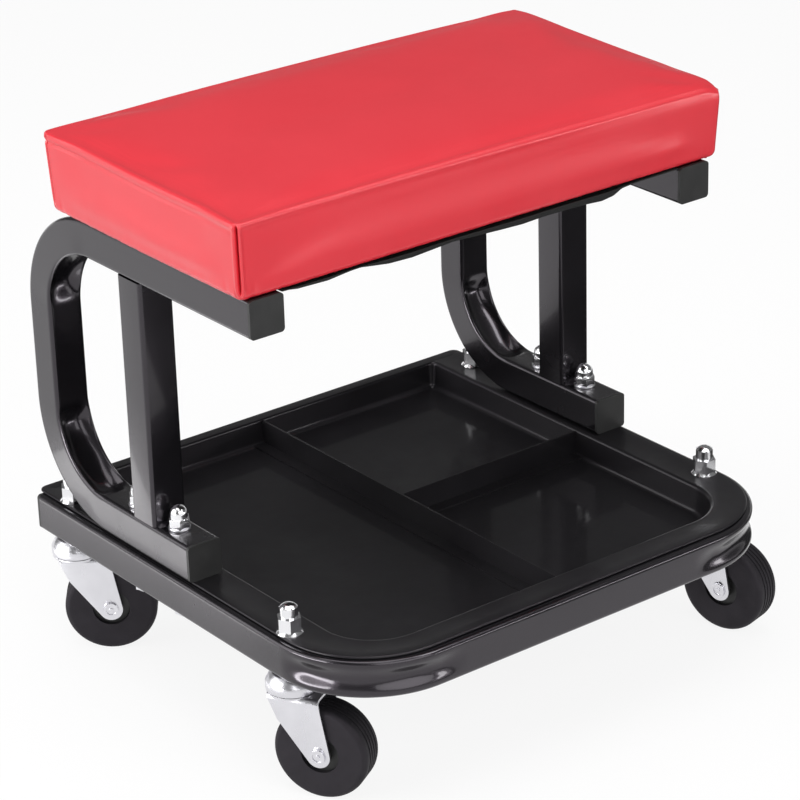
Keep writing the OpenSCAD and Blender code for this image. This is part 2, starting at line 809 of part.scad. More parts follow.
// Moulded core with a thin web in the recess and a boss round the sleeve
module hub() {
    hub_half = leg_in - hub_play;
    web = wheel_w / 2 - core_web_in;
    bore = sleeve_d / 2 + fit_clear;
    color("#1f1f21") on_axle() rotate_extrude() polygon([
        [bore, -hub_half], [hub_r, -hub_half], [hub_r, -web], [core_r, -web],
        [core_r, web], [hub_r, web], [hub_r, hub_half], [bore, hub_half]
    ]);
}

// Tyre cast round the core, with low ribs round its tread
module tyre() {
    half = wheel_w / 2;
    r = wheel_d / 2;
    web = half - core_web_in;
    flat = half - tread_r;
    pitch = 2 * flat / (2 * tread_ribs + 1);
    color("#2b2b2d") on_axle() rotate_extrude() difference() {
        union() {
            translate([recess_r, -half]) square([r - tread_r - recess_r, 2 * half]);
            translate([recess_r, -flat]) square([r - recess_r, 2 * flat]);
            for (s = [-1, 1]) translate([r - tread_r, s * flat]) circle(tread_r);
        }
        translate([recess_r - cut, -web]) square([core_r - recess_r + cut, 2 * web]);
        for (i = [0:tread_ribs - 1])
            translate([r - tread_rib_h, -flat + pitch * (2 * i + 1)]) square([tread_rib_h + cut, pitch]);
    }
}

base_frame();
base_end_caps();
left_side_frame();
right_side_frame();
left_post();
right_post();
side_frame_end_caps();
tool_tray();
long_divider();
short_divider();
seat_cover();
seat_foam();
seat_board();
seat_dust_cover();
seat_tee_nuts();
seat_bolts();
seat_washers();
frame_bolts();
frame_washers();
frame_dome_nuts();
stem_dome_nuts();
for (i = [0:3]) {
    at_caster(i) cup();
    at_caster(i) stem();
    at_caster(i) balls();
    at_caster(i) fork();
    at_caster(i) axle();
    at_caster(i) axle_nut();
    at_caster(i) sleeve();
    at_caster(i) hub();
    at_caster(i) tyre();
}
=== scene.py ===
"""Creeper seat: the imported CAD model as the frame, dressed for the render."""

import json
import math

import bmesh
import bpy
import numpy as np
from mathutils import Matrix, Vector
from mathutils.kdtree import KDTree


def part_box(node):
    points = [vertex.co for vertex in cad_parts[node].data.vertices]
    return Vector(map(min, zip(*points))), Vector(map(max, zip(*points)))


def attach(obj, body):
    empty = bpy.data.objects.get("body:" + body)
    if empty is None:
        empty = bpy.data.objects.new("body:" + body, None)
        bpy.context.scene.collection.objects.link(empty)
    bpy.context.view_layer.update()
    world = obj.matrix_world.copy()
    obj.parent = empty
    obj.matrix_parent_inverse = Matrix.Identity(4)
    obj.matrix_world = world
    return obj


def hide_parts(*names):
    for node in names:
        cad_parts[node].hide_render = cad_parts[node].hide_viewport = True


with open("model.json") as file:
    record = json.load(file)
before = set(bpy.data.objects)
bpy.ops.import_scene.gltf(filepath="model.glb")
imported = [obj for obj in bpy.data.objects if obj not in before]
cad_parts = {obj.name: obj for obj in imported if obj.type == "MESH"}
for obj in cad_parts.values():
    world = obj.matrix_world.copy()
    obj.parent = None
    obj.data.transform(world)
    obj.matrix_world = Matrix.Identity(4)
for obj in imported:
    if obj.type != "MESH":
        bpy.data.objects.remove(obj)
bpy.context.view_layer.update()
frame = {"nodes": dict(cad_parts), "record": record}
nodes = frame["nodes"]
MM = 0.001


# Camera at the photograph's place

CAMERA_PLACE = (-1.1603392, -1.5162088, 1.0301336)
CAMERA_YAW, CAMERA_PITCH, CAMERA_ROLL = -0.6506886964, -0.4180527310, -0.0294746691
FOCAL_PIXELS, FRAME_PIXELS, SENSOR = 3124.162874, 800, 36


def add_camera():
    yaw, pitch, roll = CAMERA_YAW, CAMERA_PITCH, CAMERA_ROLL
    forward = Vector((math.sin(-yaw) * math.cos(pitch), math.cos(yaw) * math.cos(pitch), math.sin(pitch)))
    level = Vector((forward.y, -forward.x, 0)).normalized()
    upright = level.cross(forward)
    side = level * math.cos(roll) + upright * math.sin(roll)
    up = upright * math.cos(roll) - level * math.sin(roll)
    turn = Matrix((side, up, -forward)).transposed()
    data = bpy.data.cameras.new("camera")
    data.sensor_width = SENSOR
    data.lens = FOCAL_PIXELS / FRAME_PIXELS * SENSOR
    data.clip_start, data.clip_end = 0.05, 60
    camera = bpy.data.objects.new("camera", data)
    camera.matrix_world = Matrix.Translation(CAMERA_PLACE) @ turn.to_4x4()
    bpy.context.scene.collection.objects.link(camera)
    bpy.context.scene.camera = camera


# Materials


def map_range(tree, value, **numbers):
    """A map range node over the value, with the named sockets set."""
    made = tree.nodes.new("ShaderNodeMapRange")
    for socket, number in numbers.items():
        made.inputs[socket.replace("_", " ")].default_value = number
    tree.links.new(value, made.inputs["Value"])
    return made


class Paint:
    """A node-based material under construction, on object coordinates."""

    def __init__(self, name, **shader):
        self.material = bpy.data.materials.new(name)
        self.material.use_nodes = True
        self.tree = self.material.node_tree
        self.tree.nodes.clear()
        self.out = self.node("ShaderNodeOutputMaterial")
        self.shader = self.node("ShaderNodeBsdfPrincipled")
        self.link(self.shader.outputs[0], self.out.inputs["Surface"])
        self.place = self.node("ShaderNodeTexCoord").outputs["Object"]
        for socket, value in shader.items():
            self.shader.inputs[socket.replace("_", " ")].default_value = value

    def node(self, kind, **values):
        made = self.tree.nodes.new(kind)
        for key, value in values.items():
            setattr(made, key, value)
        return made

    def link(self, a, b):
        self.tree.links.new(a, b)

    def noise(self, scale, detail=3.0, rough=0.5, stretch=None):
        made = self.node("ShaderNodeTexNoise")
        made.inputs["Scale"].default_value = scale
        made.inputs["Detail"].default_value = detail
        made.inputs["Roughness"].default_value = rough
        place = self.place
        if stretch:
            mapping = self.node("ShaderNodeMapping")
            mapping.inputs["Scale"].default_value = stretch
            self.link(place, mapping.inputs["Vector"])
            place = mapping.outputs[0]
        self.link(place, made.inputs["Vector"])
        return made.outputs["Fac"]

    def cells(self, scale, feature="F1"):
        made = self.node("ShaderNodeTexVoronoi", feature=feature)
        made.inputs["Scale"].default_value = scale
        self.link(self.place, made.inputs["Vector"])
        return made.outputs["Distance"]

    def between(self, value, low, high, start=0.3, end=0.7):
        made = map_range(self.tree, value, From_Min=start, From_Max=end, To_Min=low, To_Max=high)
        return made.outputs["Result"]

    def ramp(self, value, *stops):
        made = self.node("ShaderNodeValToRGB")
        ramp = made.color_ramp
        while len(ramp.elements) < len(stops):
            ramp.elements.new(0.5)
        for element, (place, colour) in zip(ramp.elements, stops):
            element.position = place
            element.color = (*colour, 1)
        self.link(value, made.inputs["Fac"])
        return made.outputs["Color"]

    def colour(self, value, *stops):
        self.link(self.ramp(value, *stops), self.shader.inputs["Base Color"])

    def roughness(self, value, low, high):
        self.link(self.between(value, low, high), self.shader.inputs["Roughness"])

    def bump(self, *layers):
        """Layers of (height, distance in metres, strength), each on the one before."""
        normal = None
        for height, distance, strength in layers:
            made = self.node("ShaderNodeBump")
            made.inputs["Distance"].default_value = distance
            made.inputs["Strength"].default_value = strength
            self.link(height, made.inputs["Height"])
            if normal:
                self.link(normal, made.inputs["Normal"])
            normal = made.outputs["Normal"]
        self.link(normal, self.shader.inputs["Normal"])


def grey(value, tint=0.0):
    """A grey that leans to violet by the tint."""
    return (value * (1 - tint / 2), value * (1 - tint), value * (1 + tint))


# The black pieces reflect with a trace of violet
BLACK_TINT = (0.97, 0.86, 1.0, 1.0)


def make_materials():
    made = {}

    coat = {"Coat_Weight": 0.45, "Coat_Roughness": 0.07, "Coat_IOR": 1.5}
    p = Paint("black_powder_coat", IOR=1.5, Specular_Tint=BLACK_TINT, **coat)
    p.colour(p.noise(9, 4), (0.3, grey(0.003, 0.08)), (0.7, grey(0.006, 0.08)))
    p.roughness(p.noise(22, 3), 0.2, 0.28)
    p.bump((p.noise(420, 2), 0.0001, 0.35), (p.noise(60, 2), 0.0002, 0.2))
    made["frame_paint"] = p.material

    coat = {"Coat_Weight": 0.35, "Coat_Roughness": 0.1}
    p = Paint("tray_satin_black", IOR=1.45, Specular_IOR_Level=0.3, Specular_Tint=BLACK_TINT, **coat)
    p.colour(p.noise(14, 5), (0.3, grey(0.005, 0.06)), (0.7, grey(0.009, 0.06)))
    p.roughness(p.noise(30, 4), 0.4, 0.52)
    p.bump((p.noise(900, 3), 0.0001, 0.5), (p.noise(45, 2), 0.0004, 0.15))
    made["tray_paint"] = p.material

    p = Paint("cap_black_plastic", IOR=1.49)
    p.colour(p.noise(80, 4), (0.3, grey(0.014)), (0.7, grey(0.02)))
    p.roughness(p.noise(120, 3), 0.42, 0.55)
    p.bump((p.cells(900), 0.0001, 0.25))
    made["cap_plastic"] = p.material

    p = Paint("red_vinyl", IOR=1.5, Coat_Weight=0.35, Coat_Roughness=0.16, Coat_IOR=1.5)
    p.colour(p.noise(5, 4), (0.25, (0.65, 0.019, 0.032)), (0.75, (0.70, 0.025, 0.041)))
    p.roughness(p.noise(16, 4), 0.36, 0.48)
    grain = p.cells(1150, "DISTANCE_TO_EDGE")
    p.bump((p.between(grain, 0, 1, 0.02, 0.28), 0.0001, 0.16), (p.noise(38, 2), 0.0006, 0.12))
    made["red_vinyl"] = p.material

    p = Paint("seat_foam", IOR=1.4)
    p.colour(p.noise(60, 4), (0.3, (0.72, 0.62, 0.36)), (0.7, (0.80, 0.71, 0.45)))
    p.roughness(p.noise(50), 0.85, 0.95)
    p.bump((p.cells(700), 0.0006, 0.7))
    made["foam"] = p.material

    p = Paint("seat_plywood", IOR=1.45)
    grain = p.noise(18, 6, 0.6, (0.25, 3, 3))
    p.colour(grain, (0.3, (0.42, 0.27, 0.14)), (0.7, (0.62, 0.44, 0.26)))
    p.roughness(grain, 0.55, 0.7)
    p.bump((grain, 0.0003, 0.4))
    made["plywood"] = p.material

    p = Paint("black_dust_fabric", IOR=1.4)
    fibre = p.noise(1400, 4, 0.7)
    p.colour(fibre, (0.3, grey(0.008)), (0.7, grey(0.02)))
    p.roughness(fibre, 0.8, 0.95)
    p.bump((p.cells(1500, "DISTANCE_TO_EDGE"), 0.0003, 0.5), (fibre, 0.0002, 0.6))
    made["dust_fabric"] = p.material

    p = Paint("zinc_plate", Metallic=1.0)
    p.colour(p.noise(30, 4), (0.3, (0.66, 0.655, 0.69)), (0.7, (0.76, 0.755, 0.79)))
    p.roughness(p.noise(40, 4, 0.6, (1, 1, 0.3)), 0.24, 0.38)
    p.bump((p.noise(500, 3), 0.00008, 0.3))
    made["zinc"] = p.material

    p = Paint("bright_chrome", Metallic=1.0)
    p.colour(p.noise(20, 3), (0.3, (0.80, 0.80, 0.82)), (0.7, (0.88, 0.88, 0.90)))
    p.roughness(p.noise(60, 4), 0.12, 0.22)
    p.bump((p.noise(120, 2), 0.0002, 0.12))
    made["chrome"] = p.material

    p = Paint("hub_grey_plastic", IOR=1.49)
    p.colour(p.noise(70, 4), (0.3, grey(0.012)), (0.7, grey(0.02)))
    p.roughness(p.noise(90, 3), 0.4, 0.55)
    p.bump((p.cells(1000), 0.0001, 0.3))
    made["hub_plastic"] = p.material

    p = Paint("tyre_grey_rubber", IOR=1.5, Specular_IOR_Level=0.28, Specular_Tint=BLACK_TINT)
    p.colour(p.noise(55, 5), (0.3, grey(0.011, 0.06)), (0.7, grey(0.016, 0.06)))
    p.roughness(p.noise(80, 4), 0.55, 0.7)
    p.bump((p.noise(700, 4), 0.0002, 0.4))
    made["wheel_rubber"] = p.material
    return made


# Floor, world and lamps

FLOOR_HALF, FLOOR_SHADE = 9.0, 0.88
# How much of the floor is plain white where it is seen, so that only soft shadows are left on it
BACKGROUND_SHARE = 0.88


def seen_by(tree):
    """One where the ray comes from the camera, a reflection or a transmission."""
    path = tree.nodes.new("ShaderNodeLightPath")
    total = path.outputs["Is Camera Ray"]
    for name in ("Is Glossy Ray", "Is Transmission Ray"):
        larger = tree.nodes.new("ShaderNodeMath")
        larger.operation = "MAXIMUM"
        tree.links.new(total, larger.inputs[0])
        tree.links.new(path.outputs[name], larger.inputs[1])
        total = larger.outputs[0]
    return total


def add_floor():
    mesh = bpy.data.meshes.new("floor")
    s = FLOOR_HALF
    mesh.from_pydata([(-s, -s, 0), (s, -s, 0), (s, s, 0), (-s, s, 0)], [], [(0, 1, 2, 3)])
    floor = bpy.data.objects.new("floor", mesh)
    bpy.context.scene.collection.objects.link(floor)
    material = bpy.data.materials.new("pale_floor")
    material.use_nodes = True
    tree = material.node_tree
    tree.nodes.clear()
    out = tree.nodes.new("ShaderNodeOutputMaterial")
    plain = tree.nodes.new("ShaderNodeBsdfDiffuse")
    plain.inputs["Color"].default_value = (FLOOR_SHADE, FLOOR_SHADE, FLOOR_SHADE, 1)
    white = tree.nodes.new("ShaderNodeEmission")
    white.inputs["Strength"].default_value = 1
    mix = tree.nodes.new("ShaderNodeMixShader")
    share = tree.nodes.new("ShaderNodeMath")
    share.operation = "MULTIPLY"
    share.inputs[1].default_value = BACKGROUND_SHARE
    tree.links.new(seen_by(tree), share.inputs[0])
    tree.links.new(share.outputs[0], mix.inputs["Fac"])
    tree.links.new(plain.outputs[0], mix.inputs[1])
    tree.links.new(white.outputs[0], mix.inputs[2])
    tree.links.new(mix.outputs[0], out.inputs["Surface"])
    mesh.materials.append(material)


def add_card(name, corners, shade, strength):
    """A flat card beside the set, which only reflections meet."""
    mesh = bpy.data.meshes.new(name)
    mesh.from_pydata(corners, [], [(0, 1, 2, 3)])
    card = bpy.data.objects.new(name, mesh)
    bpy.context.scene.collection.objects.link(card)
    material = bpy.data.materials.new(name)
    material.use_nodes = True
    shader = material.node_tree.nodes["Principled BSDF"]
    shader.inputs["Base Color"].default_value = (shade, shade, shade, 1)
    shader.inputs["Roughness"].default_value = CARD_ROUGHNESS
    shader.inputs["Emission Color"].default_value = (1, 1, 1, 1)
    shader.inputs["Emission Strength"].default_value = strength
    mesh.materials.append(material)
    card.visible_camera = card.visible_diffuse = card.visible_shadow = False
    card.visible_transmission = card.visible_volume_scatter = False


def lying(x0, x1, y0, y1, z):
    return [(x0, y0, z), (x1, y0, z), (x1, y1, z), (x0, y1, z)]


def standing(start, end, low, high):
    return [(*start, low), (*end, low), (*end, high), (*start, high)]


CARD_ROUGHNESS, BLACK_CARD, WHITE_CARD = 0.9, 0.02, 0.8
# Name, corners in metres, shade and emission strength
CARDS = (
    ("dark_flag", lying(0.08, 1.8, -1.9, -0.34, 0.02), BLACK_CARD, 0.0),
    ("far_flag", lying(0.32, 6.0, -0.34, 6.0, 0.02), BLACK_CARD, 0.0),
    ("bright_card", lying(-0.37, -0.307, 0.08, 0.42, 0.004), WHITE_CARD, 2.3),
    ("left_strip", standing((-2.3, -0.5), (-2.5, 1.1), 0.15, 0.64), WHITE_CARD, 13.0),
    ("front_strip", standing((0.95, -2.35), (1.9, -1.75), 0.28, 0.5), WHITE_CARD, 11.0),
    ("back_strip", standing((-0.6, 2.0), (2.2, -0.2), 0.02, 0.32), WHITE_CARD, 0.3),
    ("edge_card", lying(0.45, 0.95, -1.1, -0.3, 1.73), WHITE_CARD, 6.0),
)


# Brightness of the room for soft light and for reflections, which meet a white horizon except on the far side
WORLD_LEVEL, GLOSS_LEVEL = 0.42, 0.16
FAR_SIDE = (0.61, 0.79, 0.0)
HORIZON_FADE, FAR_FADE = (0.02, 0.14), (0.15, 0.6)


def add_world():
    world = bpy.data.worlds.new("studio")
    bpy.context.scene.world = world
    world.use_nodes = True
    tree = world.node_tree
    tree.nodes.clear()
    out = tree.nodes.new("ShaderNodeOutputWorld")
    room = tree.nodes.new("ShaderNodeBackground")
    room.inputs["Color"].default_value = (1, 1, 1, 1)
    white = tree.nodes.new("ShaderNodeBackground")
    white.inputs["Color"].default_value = (1, 1, 1, 1)
    white.inputs["Strength"].default_value = 1
    place = tree.nodes.new("ShaderNodeTexCoord")
    height = tree.nodes.new("ShaderNodeSeparateXYZ")
    tree.links.new(place.outputs["Generated"], height.inputs[0])
    path = tree.nodes.new("ShaderNodeLightPath")
    level = map_range(tree, path.outputs["Is Glossy Ray"], To_Min=WORLD_LEVEL, To_Max=GLOSS_LEVEL)
    away = tree.nodes.new("ShaderNodeVectorMath")
    away.operation = "DOT_PRODUCT"
    away.inputs[1].default_value = FAR_SIDE
    tree.links.new(place.outputs["Generated"], away.inputs[0])
    horizon = map_range(tree, away.outputs["Value"], From_Min=FAR_FADE[0], From_Max=FAR_FADE[1], To_Min=1.0)
    tree.links.new(level.outputs[0], horizon.inputs["To Max"])
    fade = map_range(tree, height.outputs["Z"], From_Min=HORIZON_FADE[0], From_Max=HORIZON_FADE[1])
    tree.links.new(horizon.outputs[0], fade.inputs["To Min"])
    tree.links.new(level.outputs[0], fade.inputs["To Max"])
    tree.links.new(fade.outputs[0], room.inputs["Strength"])
    mix = tree.nodes.new("ShaderNodeMixShader")
    tree.links.new(path.outputs["Is Camera Ray"], mix.inputs["Fac"])
    tree.links.new(room.outputs[0], mix.inputs[1])
    tree.links.new(white.outputs[0], mix.inputs[2])
    tree.links.new(mix.outputs[0], out.inputs["Surface"])


LAMP_TARGET = (0, 0, 0.2)
# Name, place, width and height in metres, and power in watts
LAMPS = (
    ("key", (-1.9, 0.75, 1.05), (2.4, 1.8), 30),
    ("top", (-0.2, -0.1, 2.2), (1.8, 1.8), 24),
    ("fill", (-0.3, -2.4, 1.5), (2.6, 1.8), 33),
)


def add_lamp(name, place, size, power):
    data = bpy.data.lights.new(name, "AREA")
    data.shape = "RECTANGLE"
    data.size, data.size_y = size
    data.energy = power
    lamp = bpy.data.objects.new(name, data)
    lamp.location = place
    lamp.rotation_mode = "QUATERNION"
    lamp.rotation_quaternion = (Vector(LAMP_TARGET) - Vector(place)).to_track_quat("-Z", "Y")
    bpy.context.scene.collection.objects.link(lamp)


# Mesh helpers


def smooth_group(angle):
    """A node group that smooths the shading over edges flatter than the angle."""
    group = bpy.data.node_groups.new(f"smooth_under_{round(math.degrees(angle))}", "GeometryNodeTree")
    for way in ("INPUT", "OUTPUT"):
        group.interface.new_socket("Geometry", in_out=way, socket_type="NodeSocketGeometry")
    make = group.nodes.new
    start, end = make("NodeGroupInput"), make("NodeGroupOutput")
    edge_angle = make("GeometryNodeInputMeshEdgeAngle")
    flatter = make("FunctionNodeCompare")
    flatter.data_type, flatter.operation = "FLOAT", "LESS_EQUAL"
    flatter.inputs[1].default_value = angle
    faces, edges = make("GeometryNodeSetShadeSmooth"), make("GeometryNodeSetShadeSmooth")
    faces.domain, edges.domain = "FACE", "EDGE"
    faces.inputs["Shade Smooth"].default_value = True
    link = group.links.new
    link(start.outputs[0], faces.inputs[0])
    link(faces.outputs[0], edges.inputs[0])
    link(edge_angle.outputs["Unsigned Angle"], flatter.inputs[0])
    link(flatter.outputs[0], edges.inputs["Shade Smooth"])
    link(edges.outputs[0], end.inputs[0])
    return group


NODE_SMOOTH, PIECE_SMOOTH = 32, 50
SMOOTH = {degrees: smooth_group(math.radians(degrees)) for degrees in (NODE_SMOOTH, PIECE_SMOOTH)}
WELD_DISTANCE, BEVEL_SEGMENTS, BEVEL_ANGLE = 1e-6, 2, 40


def smooth(piece, degrees):
    modifier = piece.modifiers.new("smooth", "NODES")
    modifier.node_group = SMOOTH[degrees]


def finish_node(piece, bevel):
    """Rounded edges and smooth shading for a CAD node."""
    weld = piece.modifiers.new("weld", "WELD")
    weld.merge_threshold = WELD_DISTANCE
    if bevel:
        round_off = piece.modifiers.new("round", "BEVEL")
        round_off.width = bevel
        round_off.segments = BEVEL_SEGMENTS
        round_off.limit_method = "ANGLE"
        round_off.angle_limit = math.radians(BEVEL_ANGLE)
        round_off.use_clamp_overlap = True
    smooth(piece, NODE_SMOOTH)


def add_piece(name, points, faces, slot, replaces, thickness, offset=-1):
    """A skin from points in mm on the seat body, with a wall, a material and the nodes that it replaces."""
    mesh = bpy.data.meshes.new(name)
    mesh.from_pydata([tuple(map(float, p)) for p in points * MM], [], [tuple(map(int, f)) for f in faces])
    mesh.validate()
    mesh.materials.append(MATERIALS[slot])
    piece = bpy.data.objects.new(name, mesh)
    bpy.context.scene.collection.objects.link(piece)
    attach(piece, "seat_body")
    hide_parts(*replaces)
    shell = piece.modifiers.new("shell", "SOLIDIFY")
    shell.thickness = thickness * MM
    shell.offset = offset
    smooth(piece, PIECE_SMOOTH)
    return piece


def loft(rings, cap_end=False):
    """Points and faces of a skin over closed rings with the same number of points."""
    count = len(rings[0])
    points = np.concatenate([np.asarray(r, float) for r in rings])
    faces = []
    for k in range(len(rings) - 1):
        a, b = k * count, (k + 1) * count
        for i in range(count):
            j = (i + 1) % count
            faces.append((a + i, a + j, b + j, b + i))
    if cap_end:
        last = (len(rings) - 1) * count
        faces.append(tuple(range(last, last + count)))
    return points, faces


def rounded_ring(corners, first, arc_steps, line_steps):
    """Points round four quarter arcs, given as (centre, radius), and the straights between them.

    The first arc starts at the angle first, in degrees."""
    arcs = []
    for quarter, (centre, radius) in enumerate(corners):
        a = np.radians(first + 90 * quarter + np.linspace(0, 90, arc_steps + 1))
        arcs.append(np.array(centre) + radius * np.column_stack([np.cos(a), np.sin(a)]))
    ring = []
    for quarter, arc in enumerate(arcs):
        start, end = arc[-1], arcs[(quarter + 1) % 4][0]
        ring += [*arc, *(start + (end - start) * k / line_steps for k in range(1, line_steps))]
    return np.array(ring)


# Cushion cover

SEAT_LOW, SEAT_HIGH = (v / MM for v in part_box("seat_cover"))
SEAT_CENTRE = np.array([(SEAT_LOW.x + SEAT_HIGH.x) / 2, (SEAT_LOW.y + SEAT_HIGH.y) / 2])
SEAT_HALF = np.array([(SEAT_HIGH.x - SEAT_LOW.x) / 2, (SEAT_HIGH.y - SEAT_LOW.y) / 2])
SEAT_CROWN = 4.5
SEAT_EDGE_TOP = SEAT_HIGH.z - SEAT_CROWN
CORNER_R, LOWER_R, UPPER_R = 5.0, 5.0, 4.0
COVER_THICKNESS = 1.2
# Points stand close together near the corners and in the upper part of the sides
CORNER_STEPS, CORNER_KEEP = 24, 0.95
FINE_STEP, FINE_COUNT, COARSE_STEP, COARSE_SHARE = 0.8, 15, 4.0, 0.72
# Width of the vinyl that is turned under the board
TURNED_EDGE, NO_WAY = 13.0, -99.0
# The sides lean out from foot to top
FLARE_LOW, FLARE_HIGH = -1.2, 1.4
# The cover stands a little off the solid and isn't level, as in the photo
SHIFT, GROWTH = np.array([1.3, 1.0]), np.array([1.3, 1.0])
BACK_RISE, FRONT_DROP, FOOT_SHARE = 2.8, 1.7, 0.4
DOME_POWER, SWELL_POWER, SIDE_BOW = 2.2, 4, 0.6
EDGE_BOW, BACK_BOW_POWER, RIGHT_BOW_POWER, RIGHT_BOW_REACH = 2.3, 3, 4, 90
# How far the top drops at its corners, and how far from the edges each drop begins
CORNER_DROP, CORNER_REACH = 0.5, (60, 50)
FRONT_RIGHT_DROP, FRONT_RIGHT_REACH = 3.0, 15
BACK_RIGHT_DROP, BACK_RIGHT_REACH = 0.3, 20


def bell(x, width):
    return np.exp(-((x / width) ** 2))


def ease(x, start, end):
    t = np.clip((x - start) / (end - start), 0, 1)
    return t * t * (3 - 2 * t)


def lines(half):
    """Places from -half to half, close together near both ends."""
    ends = np.arange(FINE_COUNT + 1) * FINE_STEP
    middle = half - ends[-1]
    inner = np.linspace(-middle, middle, int(2 * middle / COARSE_STEP) + 1)[1:-1]
    return np.concatenate([-half + ends, inner, half - ends[::-1]])


class Columns:
    """The upright lines of points round the cushion, from the front right corner, and the grid of its top."""

    def __init__(self, half):
        self.x, self.y = lines(half[0] - CORNER_R), lines(half[1] - CORNER_R)
        nx, ny = len(self.x), len(self.y)
        self.anchors, self.normals, self.grid, self.corner = [], [], [], []
        sides = (
            [(nx - 1, j) for j in range(ny)],
            [(i, ny - 1) for i in range(nx - 1, -1, -1)],
            [(0, j) for j in range(ny - 1, -1, -1)],
            [(i, 0) for i in range(nx)],
        )
        for quarter, side in enumerate(sides):
            for k in range(CORNER_STEPS + 1):
                self.add(side[0], 90 * (quarter - 1 + k / CORNER_STEPS), ny, quarter)
            for place in side[1:-1]:
                self.add(place, 90 * quarter, ny, -1)
        self.anchors, self.normals = np.array(self.anchors), np.array(self.normals)
        self.corner = np.array(self.corner)
        self.half = half

    def add(self, place, degrees, ny, corner):
        i, j = place
        angle = math.radians(degrees)
        self.anchors.append((self.x[i], self.y[j]))
        self.normals.append((math.cos(angle), math.sin(angle)))
        self.grid.append(i * ny + j)
        self.corner.append(corner)

    def ring(self, inset):
        """The outline, drawn in by the inset."""
        round_in = min(inset, CORNER_R * CORNER_KEEP)
        share = 1 - (inset - round_in) / self.half
        return self.anchors * share + (CORNER_R - round_in) * self.normals


def cushion_rows():
    """Rows of (inset, height, way past the middle of the top edge) from the turned edge to the top.

    Rows below the side have no such way."""
    low, side_top = SEAT_LOW.z, SEAT_EDGE_TOP - UPPER_R
    rows = [(TURNED_EDGE - (TURNED_EDGE - LOWER_R) * k / 4, low, NO_WAY) for k in range(4)]
    for k in range(7):
        a = math.radians(90 * k / 7)
        rows.append((LOWER_R * (1 - math.sin(a)), low + LOWER_R * (1 - math.cos(a)), NO_WAY))
    edge = UPPER_R * math.pi / 4
    side = side_top - low - LOWER_R
    for k in range(14):
        z = low + LOWER_R + side * COARSE_SHARE * k / 14
        rows.append((0.0, z, z - side_top - edge))
    for k in range(20):
        z = low + LOWER_R + side * (COARSE_SHARE + (1 - COARSE_SHARE) * k / 20)
        rows.append((0.0, z, z - side_top - edge))
    for k in range(15):
        a = math.radians(90 * k / 14)
        rows.append((UPPER_R * (1 - math.cos(a)), side_top + UPPER_R * math.sin(a), UPPER_R * a - edge))
    return rows


def cushion_mesh(columns):
    """Points in mm, their outward directions, their ways past the edge, the faces and the number of rows."""
    rows = cushion_rows()
    count = len(columns.anchors)
    skin, faces = loft([np.column_stack([columns.ring(inset), np.full(count, z)]) for inset, z, _ in rows])
    gx, gy = np.meshgrid(columns.x, columns.y, indexing="ij")
    flat = np.column_stack([gx.ravel(), gy.ravel(), np.full(gx.size, SEAT_EDGE_TOP)])
    inset = np.minimum(columns.half[0] - np.abs(flat[:, 0]), columns.half[1] - np.abs(flat[:, 1]))
    ways = np.append(np.repeat([way for _, _, way in rows], count), UPPER_R * math.pi / 4 + inset - UPPER_R)
    normals = np.concatenate([np.tile(columns.normals, (len(rows), 1)), np.zeros((len(flat), 2))])
    last, top = (len(rows) - 1) * count, len(rows) * count
    for i in range(count):
        j = (i + 1) % count
        first, second = top + columns.grid[i], top + columns.grid[j]
        edge = (last + i, last + j, second)
        faces.append(edge if first == second else (*edge, first))
    ny = len(columns.y)
    for i in range(len(columns.x) - 1):
        for j in range(ny - 1):
            k = top + i * ny + j
            faces.append((k, k + ny, k + ny + 1, k + 1))
    return np.concatenate([skin, flat]), normals, ways, faces, len(rows)


def crowned(points, half):
    """The block with its crown, its bowed back and right edges, its dropped corners and its swollen sides."""
    x, y, z = points.T
    low, high = SEAT_LOW.z, SEAT_EDGE_TOP
    dome = (1 - np.abs(x / half[0]) ** DOME_POWER) * (1 - np.abs(y / half[1]) ** DOME_POWER)
    drop = CORNER_DROP * ease(np.abs(x), half[0] - CORNER_REACH[0], half[0])
    drop *= ease(np.abs(y), half[1] - CORNER_REACH[1], half[1])
    right_corners = ((FRONT_RIGHT_DROP, FRONT_RIGHT_REACH, -y), (BACK_RIGHT_DROP, BACK_RIGHT_REACH, y))
    for amount, reach, v in right_corners:
        drop += amount * ease(x, half[0] - reach, half[0] - 1) * ease(v, half[1] - reach, half[1] - 1)
    along_x, along_y = np.clip(np.abs(x / half[0]), 0, 1), np.clip(np.abs(y / half[1]), 0, 1)
    bow_back = ease(y, 0, half[1]) * (1 - along_x**BACK_BOW_POWER)
    bow_right = ease(x, half[0] - RIGHT_BOW_REACH, half[0]) * (1 - along_y**RIGHT_BOW_POWER)
    drop -= EDGE_BOW * np.maximum(bow_back, bow_right)
    out = points.copy()
    out[:, 2] += ease(z, high - UPPER_R * 1.6, high) * SEAT_CROWN * np.clip(dome, 0, 1)
    out[:, 2] -= ease(z, high - UPPER_R * 3, high) * drop
    swell = SIDE_BOW * np.sin(np.pi * np.clip((z - low) / (high - low), 0, 1))
    out[:, 0] *= 1 + swell * (1 - np.abs(y / half[1]) ** SWELL_POWER) / half[0]
    out[:, 1] *= 1 + swell * (1 - np.abs(x / half[0]) ** SWELL_POWER) / half[1]
    flare = FLARE_LOW + (FLARE_HIGH - FLARE_LOW) * np.clip((z - low) / (high - low), 0, 1)
    out[:, :2] *= 1 + (flare[:, None] + GROWTH) / half
    out[:, :2] += SHIFT
    share = ease(z, low, high)
    slope = np.clip(y / half[1], -1, 1)
    out[:, 2] += np.clip(slope, 0, 1) * BACK_RISE * (FOOT_SHARE + (1 - FOOT_SHARE) * share)
    out[:, 2] += np.clip(slope, -1, 0) * FRONT_DROP * share
    return out


